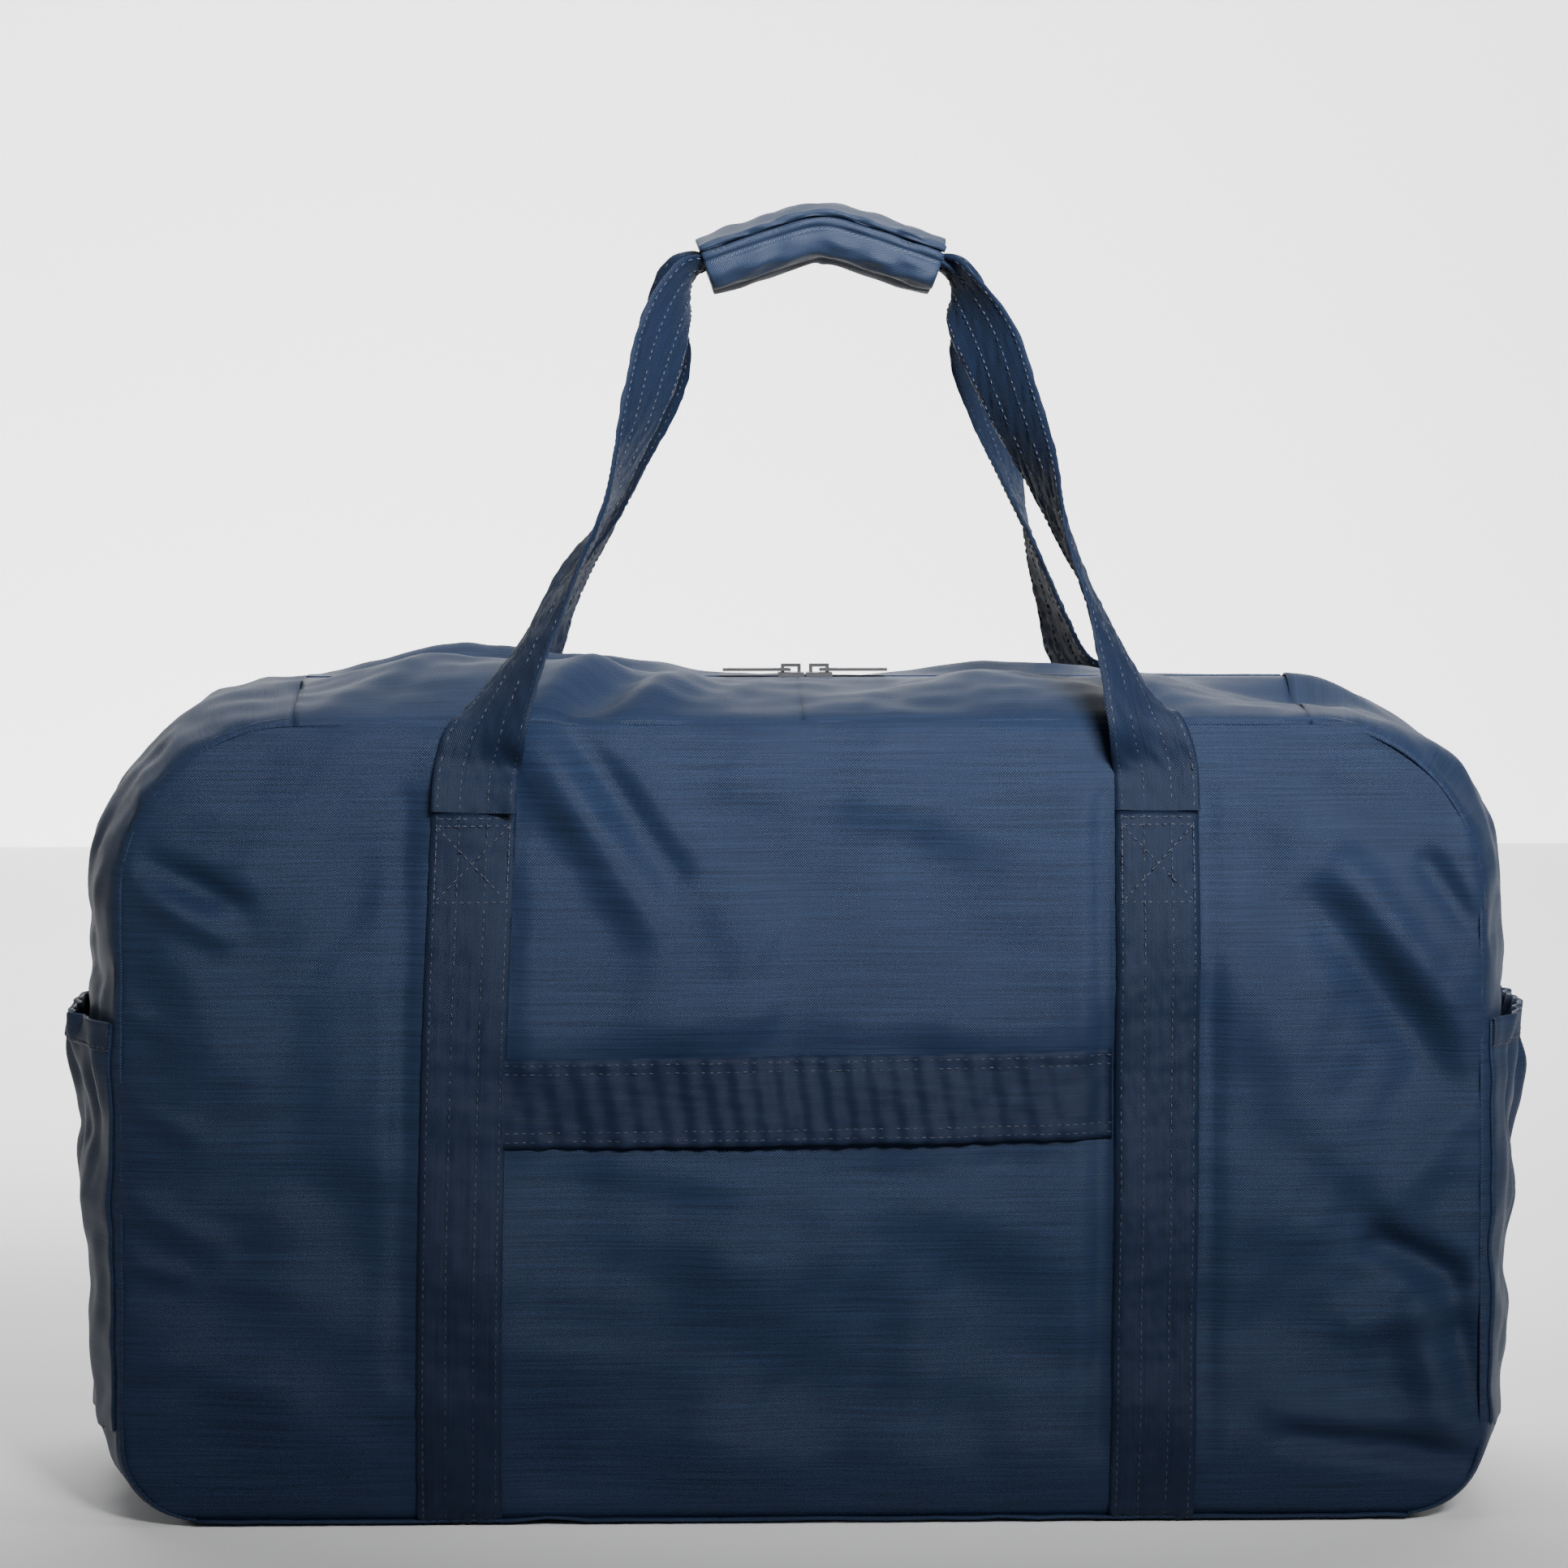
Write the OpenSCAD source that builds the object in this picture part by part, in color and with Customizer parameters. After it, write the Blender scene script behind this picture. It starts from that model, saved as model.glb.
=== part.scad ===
// Foldable tote bag: fabric shell, zip top, body straps, twin handles and a grip wrap.
// Units are millimetres. X is width, -Y is the front, +Z is up, and the base rests on Z = 0.

/* [Shell] */
// Half width of the front and back panels
panel_half_w = 272; // [200:320]
// Height of the front and back panels
panel_h = 323; // [240:380]
// Depth of the bag at its base seams
base_depth = 224; // [160:260]
// Depth of the bag at its top seams
top_depth = 190; // [140:240]
// Radius of the panel's top corners
shoulder_r = 72; // [40:100]
// Radius of the panel's bottom corners
foot_r = 32; // [20:60]
// Outward belly of the panels
bulge = 12; // [0:24]
// Outward belly of the end gussets
crown_end = 17; // [0:25]
// Rise of the top at the zip
crown_top = 12; // [4:20]
// Thickness of the shell fabric, seam allowance included
wall = 1.2; // [0.8:0.1:2]

/* [Straps] */
// Distance of each strap's centre line from the middle
strap_x = 139; // [100:180]
// Width of the strap webbing
strap_w = 34; // [25:40]
// Thickness of the strap webbing
strap_t = 1.6; // [1.2:0.1:2.4]
// Height where a strap stops being sewn down
strap_top = 289; // [240:310]
// Width of the handle webbing inside the grip wrap
grip_strap_w = 27; // [20:28]

/* [Grip] */
// Position of the grip's peak across the bag
grip_x = 11; // [-20:20]
// Height of the grip's peak
grip_z = 524; // [480:560]
// Length of the grip from the peak to either end
grip_reach = 49; // [40:60]
// Slope of the grip's two halves
grip_slope = 19; // [0:30]
// Half width of the grip wrap
grip_half_w = 18; // [16:22]

/* [Zip] */
// Half length of the zip opening
zip_half = 199; // [160:199]
// Gap between the top strips' edge and the zip's centre line
zip_edge = 6.5; // [5:0.5:9]
// Spacing of the coil's loops
coil_pitch = 2.5; // [1.5:0.5:4]
// Place on the zip where the two sliders meet
meet_x = 4; // [-20:20]
// Length of a puller's tab
tab_len = 21; // [15:35]

/* [Sleeve and pockets] */
// Bottom of the luggage-handle band
band_z0 = 156; // [120:180]
// Top of the luggage-handle band
band_z1 = 192; // [160:220]
// Room behind the middle of the band
band_gap = 8; // [2:0.5:12]
// Bottom of the side pockets
pocket_z0 = 34; // [32:60]
// Height of the side pockets' open hem
pocket_z1 = 203; // [150:230]
// Room behind the hem of a side pocket
pocket_gap = 7.5; // [4:0.5:12]

/* [Hidden] */
lift = strap_t + 0.8;
seam_gap = 0.3;
strap_gap = 0.5;
top_x = panel_half_w - shoulder_r;
foot_x = panel_half_w - foot_r;
zip_z = lift + panel_h + crown_top;
fabric = [0.17, 0.23, 0.34];
webbing = [0.12, 0.17, 0.26];
padding = [0.22, 0.28, 0.4];
metal = [0.2, 0.2, 0.21];
curve_steps = 4;

// Shape of the shell, with z measured from the shell's own base.
function half_w(z) = z < foot_r
  ? foot_x + sqrt(max(0, foot_r * foot_r - pow(foot_r - z, 2)))
  : z > panel_h - shoulder_r
    ? top_x + sqrt(max(0, shoulder_r * shoulder_r - pow(z - panel_h + shoulder_r, 2)))
    : panel_half_w;
function seam_y(z) = base_depth / 2 + (top_depth - base_depth) / 2 * pow(z / panel_h, 2);
function belly(x, z) = bulge
  * (1 - pow(min(1, abs(x) / half_w(z)), 4))
  * (1 - pow(abs(2 * z / panel_h - 1), 4));
function front_y(x, z) = -(seam_y(z) + belly(x, z));
function gusset_y(z) = seam_y(z) - wall - seam_gap;

// Outline of the right end as [x, z, normal x, normal z, crown].
function foot_point(a) = [foot_x + foot_r * cos(a), foot_r + foot_r * sin(a),
  cos(a), sin(a), crown_end * pow(1 + a / 90, 2)];
function side_point(z) = [panel_half_w, z, 1, 0, crown_end];
function shoulder_point(a) = [top_x + shoulder_r * cos(a), panel_h - shoulder_r + shoulder_r * sin(a),
  cos(a), sin(a), crown_end + (crown_top - crown_end) * a / 90];
side_top = panel_h - shoulder_r;
end_outline = concat(
  [for (a = [-90 : 15 : -15]) foot_point(a)],
  [for (i = [0 : 10]) side_point(foot_r + (side_top - foot_r) * i / 10)],
  [for (a = [9 : 9 : 90]) shoulder_point(a)]);
// Point on an end at outline entry p, across position t, raised by r.
function end_point(p, t, r) = let (off = p[4] * (1 - t * t) + r)
  [p[0] + p[2] * off, t * gusset_y(p[1]), p[1] + p[3] * off + lift];

// Skin between two grids of points with the same rows and columns.
function slab_faces(m, n, turned) = let (
  N = m * n,
  quads = concat(
    [for (i = [0 : m - 2], j = [0 : n - 2])
      [i * n + j, i * n + j + 1, (i + 1) * n + j + 1, (i + 1) * n + j]],
    [for (i = [0 : m - 2], j = [0 : n - 2])
      [N + i * n + j, N + (i + 1) * n + j, N + (i + 1) * n + j + 1, N + i * n + j + 1]],
    [for (i = [0 : m - 2]) [i * n, (i + 1) * n, N + (i + 1) * n, N + i * n]],
    [for (i = [0 : m - 2])
      [i * n + n - 1, N + i * n + n - 1, N + (i + 1) * n + n - 1, (i + 1) * n + n - 1]],
    [for (j = [0 : n - 2]) [j, N + j, N + j + 1, j + 1]],
    [for (j = [0 : n - 2])
      [(m - 1) * n + j, (m - 1) * n + j + 1, N + (m - 1) * n + j + 1, N + (m - 1) * n + j]]))
  [for (q = quads) each turned
    ? [[q[0], q[1], q[2]], [q[0], q[2], q[3]]]
    : [[q[0], q[2], q[1]], [q[0], q[3], q[2]]]];
module slab(outer, inner) {
  m = len(outer);
  n = len(outer[0]);
  i = floor(m / 2);
  side = cross(outer[i][1] - outer[i][0], outer[i - 1][0] - outer[i][0]) * (outer[i][0] - inner[i][0]);
  polyhedron(
    points = concat([for (row = outer) each row], [for (row = inner) each row]),
    faces = slab_faces(m, n, side > 0), convexity = 8);
}

// Webbing along a path of [position, width direction, width, sideways offset].
function unit(v) = v / norm(v);
function tangent(path, i) =
  unit(path[min(i + 1, len(path) - 1)][0] - path[max(i - 1, 0)][0]);
function across(path, i) = let (t = tangent(path, i), w = path[i][1])
  unit(w - t * (w * t));
function web_row(path, i, side) = let (
  w = across(path, i),
  n = cross(w, tangent(path, i)),
  mid = path[i][0] + n * (path[i][3] + side * strap_t / 2))
  [for (s = [-1, -0.5, 0, 0.5, 1]) mid + w * (s * path[i][2] / 2)];
module webbing_strip(path) {
  last = len(path) - 1;
  slab([for (i = [0 : last]) web_row(path, i, 1)], [for (i = [0 : last]) web_row(path, i, -1)]);
}
// Smooth curve through a list of stations.
function ease(a, b, c, d, t) = 0.5 * (2 * b + (c - a) * t
  + (2 * a - 5 * b + 4 * c - d) * t * t + (3 * b - a - 3 * c + d) * t * t * t);
function station_mix(s, i, t) = let (
  a = s[max(i - 1, 0)], b = s[i], c = s[i + 1], d = s[min(i + 2, len(s) - 1)])
  [ease(a[0], b[0], c[0], d[0], t), b[1] * (1 - t) + c[1] * t,
   b[2] * (1 - t) + c[2] * t, b[3] * (1 - t) + c[3] * t];
function smooth(s) = [for (i = [0 : len(s) - 2], k = [0 : curve_steps - 1])
  station_mix(s, i, k / curve_steps)];

module front_skin() {
  rows = concat([for (a = [0 : 15 : 75]) foot_r * (1 - cos(a))],
    [for (i = [0 : 13]) foot_r + (side_top - foot_r) * i / 13],
    [for (a = [10 : 10 : 90]) side_top + shoulder_r * sin(a)]);
  slab(
    [for (z = rows) [for (u = [-12 : 12]) let (x = u / 12 * half_w(z)) [x, front_y(x, z), z + lift]]],
    [for (z = rows) [for (u = [-12 : 12]) let (x = u / 12 * half_w(z))
      [x, front_y(x, z) + wall, z + lift]]]);
}
module front_panel() color(fabric) front_skin();
module back_panel() color(fabric) mirror([0, 1, 0]) front_skin();

module base_panel() color(fabric)
  translate([-(foot_x - seam_gap), -gusset_y(0), lift])
    cube([2 * (foot_x - seam_gap), 2 * gusset_y(0), wall]);

module end_skin() {
  slab(
    [for (p = end_outline) [for (t = [-6 : 6]) end_point(p, t / 6, 0)]],
    [for (p = end_outline) [for (t = [-6 : 6]) end_point(p, t / 6, -wall)]]);
}
module end_gusset_right() color(fabric) end_skin();
module end_gusset_left() color(fabric) mirror([1, 0, 0]) end_skin();

// Front right quarter of the top, from the seam to the zip.
module strip_skin() {
  y_out = gusset_y(panel_h) - seam_gap;
  xs = [for (i = [0 : 12]) seam_gap / 2 + (top_x - seam_gap * 1.5) * i / 12];
  function top_at(x, s, r) = let (y = zip_edge + (y_out - zip_edge) * s)
    [x, -y, lift + panel_h + crown_top * (1 - pow(y / gusset_y(panel_h), 2)) + r];
  slab(
    [for (x = xs) [for (s = [0 : 7]) top_at(x, s / 7, 0)]],
    [for (x = xs) [for (s = [0 : 7]) top_at(x, s / 7, -wall)]]);
}
module top_strip_front_right() color(fabric) strip_skin();
module top_strip_front_left() color(fabric) mirror([1, 0, 0]) strip_skin();
module top_strip_back_right() color(fabric) mirror([0, 1, 0]) strip_skin();
module top_strip_back_left() color(fabric) mirror([1, 0, 0]) mirror([0, 1, 0]) strip_skin();

// Zip: woven tape, coil, end tabs, two sliders head to head and their pullers.
tab_w = 9;
tape_half = zip_half - tab_w - seam_gap;
tape_t = 0.8;
tape_z = zip_z - 2.8;
module tape() translate([-tape_half, -12, tape_z]) cube([2 * tape_half, 11, tape_t]);
module zip_tape_front() color(webbing) tape();
module zip_tape_back() color(webbing) mirror([0, 1, 0]) tape();
module coil() {
  count = floor((2 * tape_half - 6) / coil_pitch);
  start = -count * coil_pitch / 2;
  teeth = [for (i = [0 : count - 1]) each let (x = start + i * coil_pitch)
    [[x, -0.6], [x + coil_pitch * 0.6, -0.6], [x + coil_pitch * 0.6, -1.6], [x + coil_pitch, -1.6]]];
  translate([0, 0, tape_z + tape_t + 0.05])
    linear_extrude(height = 2.1)
      polygon(concat(teeth, [[start + count * coil_pitch, -2.7], [start, -2.7]]));
}
module zip_coil_front() color(webbing) coil();
module zip_coil_back() color(webbing) mirror([0, 1, 0]) coil();
module end_tab() translate([zip_half - tab_w, -6, tape_z]) cube([tab_w, 12, 3.4]);
module zip_end_right() color(webbing) end_tab();
module zip_end_left() color(webbing) mirror([1, 0, 0]) end_tab();

slider_l = 11;
slider_half_w = 4.8;
plate_t = 1.1;
// Slider with its nose towards +X, at the zip's height.
module slider_body() {
  translate([-slider_l / 2, -slider_half_w, zip_z - 4.2])
    cube([slider_l, 2 * slider_half_w, plate_t]);
  translate([-slider_l / 2, -slider_half_w, zip_z + 0.6])
    cube([slider_l, 2 * slider_half_w, plate_t]);
  for (s = [-1, 1])
    translate([-slider_l / 2, s > 0 ? 3.6 : -slider_half_w, zip_z - 1.7])
      cube([slider_l, slider_half_w - 3.6, 2.5]);
  translate([slider_l / 2 - 2.2, -0.4, zip_z - 3.2])
    cube([2, 0.8, 4]);
  translate([0, 0, zip_z + 0.6 + plate_t])
    rotate([90, 0, 0])
      linear_extrude(height = 2, center = true)
        difference() {
          translate([-4.2, -0.2])
            square([8.4, 3.8]);
          translate([-2.7, -0.25])
            square([5.4, 2.5]);
        }
}
puller_pivot_x = 0.6;
puller_pivot_z = zip_z + 0.6 + plate_t + 1.1;
// Puller lying flat towards -X, its crossbar under the slider's bridge.
module puller_body() {
  translate([-puller_pivot_x, 0, puller_pivot_z])
    rotate([90, 0, 0])
      cylinder(r = 0.65, h = 6.4, center = true, $fn = 24);
  for (s = [-1, 1])
    translate([-puller_pivot_x - 7.4, s * 2.5 - 0.65, puller_pivot_z - 0.6])
      cube([7.6, 1.3, 1.2]);
  difference() {
    translate([-puller_pivot_x - 7 - tab_len, -3.2, puller_pivot_z - 0.6])
      cube([tab_len, 6.4, 1.2]);
    translate([-puller_pivot_x - 4 - tab_len, 0, puller_pivot_z])
      cylinder(r = 1.4, h = 4, center = true, $fn = 32);
  }
}
slider_place = slider_l / 2 + 0.4;
module slider_left() color(metal) translate([meet_x - slider_place, 0, 0]) slider_body();
module slider_right() color(metal) translate([meet_x + slider_place, 0, 0]) mirror([1, 0, 0]) slider_body();
module puller_left() color(metal) translate([meet_x - slider_place, 0, 0]) puller_body();
module puller_right() color(metal) translate([meet_x + slider_place, 0, 0]) mirror([1, 0, 0]) puller_body();

// Body strap: one length of webbing from the front, under the base, to the back.
strap_off = strap_gap + strap_t / 2;
turn_r = 3;
function face_station(z) = [[strap_x, front_y(strap_x, z) - strap_off, z + lift], [1, 0, 0], strap_w, 0];
function back_station(z) = [[strap_x, strap_off - front_y(strap_x, z), z + lift], [1, 0, 0], strap_w, 0];
function turn_station(a) = let (y = seam_y(0) + strap_off - turn_r)
  [[strap_x, -(y + turn_r * cos(a)), strap_t / 2 + turn_r - turn_r * sin(a)], [1, 0, 0], strap_w, 0];
function turn_back(a) = let (p = turn_station(a)) [[p[0][0], -p[0][1], p[0][2]], p[1], p[2], p[3]];
strap_rows = 24;
strap_z1 = strap_top - lift;
body_path = concat(
  [for (i = [0 : strap_rows]) face_station(strap_z1 - (strap_z1 - 5) * i / strap_rows)],
  [for (a = [0 : 22.5 : 90]) turn_station(a)],
  [for (a = [90 : -22.5 : 0]) turn_back(a)],
  [for (i = [0 : strap_rows]) back_station(5 + (strap_z1 - 5) * i / strap_rows)]);
module body_strap_right() color(webbing) webbing_strip(body_path);
module body_strap_left() color(webbing) mirror([1, 0, 0]) webbing_strip(body_path);

// Handles: webbing stations as [position, width direction, width, offset].
// Room between the end of a body strap and the handle sewn on above it.
handle_gap = 1.3;
hold = strap_top + handle_gap;
// Still against the panel at height z, or standing off it by loose.
function sewn(x, z, loose) = [[x, front_y(x, z - lift) - strap_off - loose, z],
  [x > 0 ? -1 : 1, 0, 0], strap_w, 0];
left_leg = [
  sewn(-strap_x, hold, 0.3), sewn(-strap_x, hold + 9, 0.7), sewn(-strap_x + 3, hold + 18, 3),
  [[-131, -107, 321], [0.94, -0.3, 0], strap_w, 0],
  [[-121, -99, 338], [0.6, -0.8, 0], strap_w, 0],
  [[-109, -84, 357], [0.32, -0.94, 0], strap_w, 0],
  [[-96, -73, 379], [0.17, -0.98, 0], strap_w, 0],
  [[-85, -63, 401], [0, -1, 0], strap_w, 0],
  [[-75, -52, 425], [-0.22, -0.97, 0], strap_w, 0],
  [[-66, -42, 450], [-0.45, -0.88, 0.1], strap_w, 0],
  [[-57, -31, 475], [-0.6, -0.78, 0.25], strap_w, 1],
  [[-50, -21, 493], [-0.45, -0.88, 0.2], 31, 2]];
right_leg = [
  [[70, -21, 494], [0.45, -0.88, 0.2], 31, 2],
  [[80, -30, 476], [0.6, -0.78, 0.25], strap_w, 1],
  [[91, -41, 450], [0.45, -0.88, 0.1], strap_w, 0],
  [[100, -52, 425], [0.22, -0.97, 0], strap_w, 0],
  [[109, -62, 401], [0, -1, 0], strap_w, 0],
  [[117, -72, 379], [-0.17, -0.98, 0], strap_w, 0],
  [[124, -83, 357], [-0.32, -0.94, 0], strap_w, 0],
  [[132, -99, 338], [-0.6, -0.8, 0], strap_w, 0],
  [[137, -107, 321], [-0.94, -0.3, 0], strap_w, 0],
  sewn(strap_x - 1, hold + 18, 3), sewn(strap_x, hold + 9, 0.7), sewn(strap_x, hold, 0.3)];
stack = 1.15;
grip_drop = grip_reach * tan(grip_slope);
function in_grip(side) = [[grip_x + side * grip_reach * 1.08, 0, grip_z - grip_drop * 1.08],
  [0, -1, 0], grip_strap_w, stack];
handle_path = concat(
  smooth(concat(left_leg, [in_grip(-1)])),
  [in_grip(-1)],
  [[[grip_x, 0, grip_z], [0, -1, 0], grip_strap_w, stack]],
  smooth(concat([in_grip(1)], right_leg)),
  [right_leg[len(right_leg) - 1]]);
module handle_front() color(webbing) webbing_strip(handle_path);
module handle_back() color(webbing) mirror([0, 1, 0]) webbing_strip(handle_path);

// Grip wrap: a padded sleeve folded over both handles, closed by a flap.
module chevron(y0, y1, z0, z1, reach) {
  fall = reach * tan(grip_slope);
  translate([grip_x, y1, grip_z])
    rotate([90, 0, 0])
      linear_extrude(height = y1 - y0)
        polygon([[-reach, z0 - fall], [0, z0], [reach, z0 - fall],
          [reach, z1 - fall], [0, z1], [-reach, z1 - fall]]);
}
channel_half = 14.8;
module grip_wrap() color(padding) {
  chevron(-grip_half_w, grip_half_w, -11, -3.4, grip_reach);
  chevron(-grip_half_w, -channel_half, -4, 7.5, grip_reach);
  chevron(channel_half, grip_half_w, -4, 7.5, grip_reach);
}
module grip_flap() color(padding) {
  chevron(-23, grip_half_w, 8, 10.5, grip_reach);
  chevron(-23, -21, -6, 8.5, grip_reach);
}
module grip_hook_patch() color(webbing) chevron(-20.7, -19.9, -5, 7, grip_reach - 5);
module grip_loop_patch() color(webbing) chevron(-19.5, -18.3, -5, 7, grip_reach - 5);

// Luggage-handle band across the front, sewn down along both of its ends.
band_half = strap_x - strap_w / 2 - 0.6;
function band_point(u, v, r) = let (
  x = u * band_half,
  z = band_z0 - lift + (band_z1 - band_z0) * v)
  [x, front_y(x, z) - 0.5 - band_gap * (1 - u * u) - r, z + lift];
module trolley_band() color(fabric) slab(
  [for (u = [-12 : 12]) [for (v = [0 : 4]) band_point(u / 12, v / 4, strap_t)]],
  [for (u = [-12 : 12]) [for (v = [0 : 4]) band_point(u / 12, v / 4, 0)]]);

// Side pockets: fabric laid over each end, closed at its sides and foot.
function pocket_rise(z, t) = 0.5
  + pocket_gap * pow((z - pocket_z0) / (pocket_z1 - pocket_z0), 1.5) * (1 - pow(t, 4));
function pocket_point(z, t, r) = end_point(side_point(z - lift), t * 0.97, pocket_rise(z, t) + r);
module pocket_skin() slab(
  [for (i = [0 : 12]) [for (t = [-8 : 8])
    pocket_point(pocket_z0 + (pocket_z1 - pocket_z0) * i / 12, t / 8, wall)]],
  [for (i = [0 : 12]) [for (t = [-8 : 8])
    pocket_point(pocket_z0 + (pocket_z1 - pocket_z0) * i / 12, t / 8, 0)]]);
module side_pocket_right() color(fabric) pocket_skin();
module side_pocket_left() color(fabric) mirror([1, 0, 0]) pocket_skin();
hem_h = 12;
module hem_skin() slab(
  [for (z = [pocket_z1 - hem_h : 3 : pocket_z1]) [for (t = [-8 : 8]) pocket_point(z, t / 8, wall + 1)]],
  [for (z = [pocket_z1 - hem_h : 3 : pocket_z1]) [for (t = [-8 : 8]) pocket_point(z, t / 8, wall + 0.15)]]);
module pocket_hem_right() color(webbing) hem_skin();
module pocket_hem_left() color(webbing) mirror([1, 0, 0]) hem_skin();

base_panel();
front_panel();
back_panel();
end_gusset_left();
end_gusset_right();
top_strip_front_left();
top_strip_front_right();
top_strip_back_left();
top_strip_back_right();
zip_tape_front();
zip_tape_back();
zip_coil_front();
zip_coil_back();
zip_end_left();
zip_end_right();
slider_left();
slider_right();
puller_left();
puller_right();
body_strap_left();
body_strap_right();
handle_front();
handle_back();
grip_wrap();
grip_flap();
grip_hook_patch();
grip_loop_patch();
trolley_band();
side_pocket_left();
side_pocket_right();
pocket_hem_left();
pocket_hem_right();
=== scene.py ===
import math

import bpy
import numpy as np
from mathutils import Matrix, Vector


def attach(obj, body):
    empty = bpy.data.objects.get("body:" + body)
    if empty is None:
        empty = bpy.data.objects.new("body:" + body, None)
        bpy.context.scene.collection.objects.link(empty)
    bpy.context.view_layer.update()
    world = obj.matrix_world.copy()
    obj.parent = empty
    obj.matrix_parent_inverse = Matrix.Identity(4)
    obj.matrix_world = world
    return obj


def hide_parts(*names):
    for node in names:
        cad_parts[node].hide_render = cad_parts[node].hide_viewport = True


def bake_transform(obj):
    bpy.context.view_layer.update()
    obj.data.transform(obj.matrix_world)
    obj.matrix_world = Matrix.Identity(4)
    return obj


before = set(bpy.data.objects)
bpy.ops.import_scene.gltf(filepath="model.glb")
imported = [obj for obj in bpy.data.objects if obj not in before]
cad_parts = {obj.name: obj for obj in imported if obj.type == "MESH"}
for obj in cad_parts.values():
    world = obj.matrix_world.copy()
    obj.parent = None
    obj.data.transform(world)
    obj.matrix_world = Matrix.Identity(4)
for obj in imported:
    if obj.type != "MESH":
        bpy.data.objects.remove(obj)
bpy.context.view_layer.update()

MM = 0.001

# ---------------------------------------------------------------- camera and light
CAM_YAW, CAM_PITCH = math.radians(1.8), math.radians(4.0)
CAM_DISTANCE = 2.406
CAM_TARGET = Vector((0.0, 0.0, 0.292))

cam_data = bpy.data.cameras.new("camera")
cam_data.lens = 131.5
cam_data.sensor_width = 36
cam_data.shift_x = -0.0072
cam = bpy.data.objects.new("camera", cam_data)
bpy.context.scene.collection.objects.link(cam)
cam_side = Vector((-math.sin(CAM_YAW) * math.cos(CAM_PITCH), -math.cos(CAM_YAW) * math.cos(CAM_PITCH),
                   math.sin(CAM_PITCH)))
cam.location = CAM_TARGET + cam_side * CAM_DISTANCE
cam.rotation_euler = (CAM_TARGET - cam.location).to_track_quat("-Z", "Y").to_euler()
bpy.context.scene.camera = cam


def area_light(name, place, target, size, power, spread):
    data = bpy.data.lights.new(name, "AREA")
    data.energy = power
    data.shape = "RECTANGLE"
    data.size = data.size_y = size
    data.spread = math.radians(spread)
    lamp = bpy.data.objects.new(name, data)
    lamp.location = place
    lamp.rotation_euler = (Vector(target) - Vector(place)).to_track_quat("-Z", "Y").to_euler()
    bpy.context.scene.collection.objects.link(lamp)


area_light("key", (0.5, -1.5, 1.22), (0.12, 0, 0.66), 0.7, 13.5, spread=40)
area_light("top_soft", (0.1, -0.35, 1.9), (0, 0, 0.3), 0.8, 0.3, spread=80)
area_light("floor_wash", (0, 1.7, 2.4), (0, 2.0, 0), 2.4, 68, spread=110)
area_light("left_box", (-1.9, -0.5, 1.0), (-0.2, 0, 0.45), 0.5, 0.7, spread=50)
area_light("right_box", (1.9, -0.7, 1.1), (0.2, 0, 0.42), 0.5, 0.9, spread=50)
world = bpy.data.worlds.new("studio")
world.use_nodes = True
world.node_tree.nodes["Background"].inputs[0].default_value = (1, 1, 1, 1)
world.node_tree.nodes["Background"].inputs[1].default_value = 0.085
bpy.context.scene.world = world


# ---------------------------------------------------------------- materials
def math_node(nt, op, a, b=None, clamp=False):
    n = nt.nodes.new("ShaderNodeMath")
    n.operation = op
    n.use_clamp = clamp
    for i, v in enumerate((a, b)):
        if v is None:
            continue
        if hasattr(v, "links"):
            nt.links.new(v, n.inputs[i])
        else:
            n.inputs[i].default_value = v
    return n.outputs[0]


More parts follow.
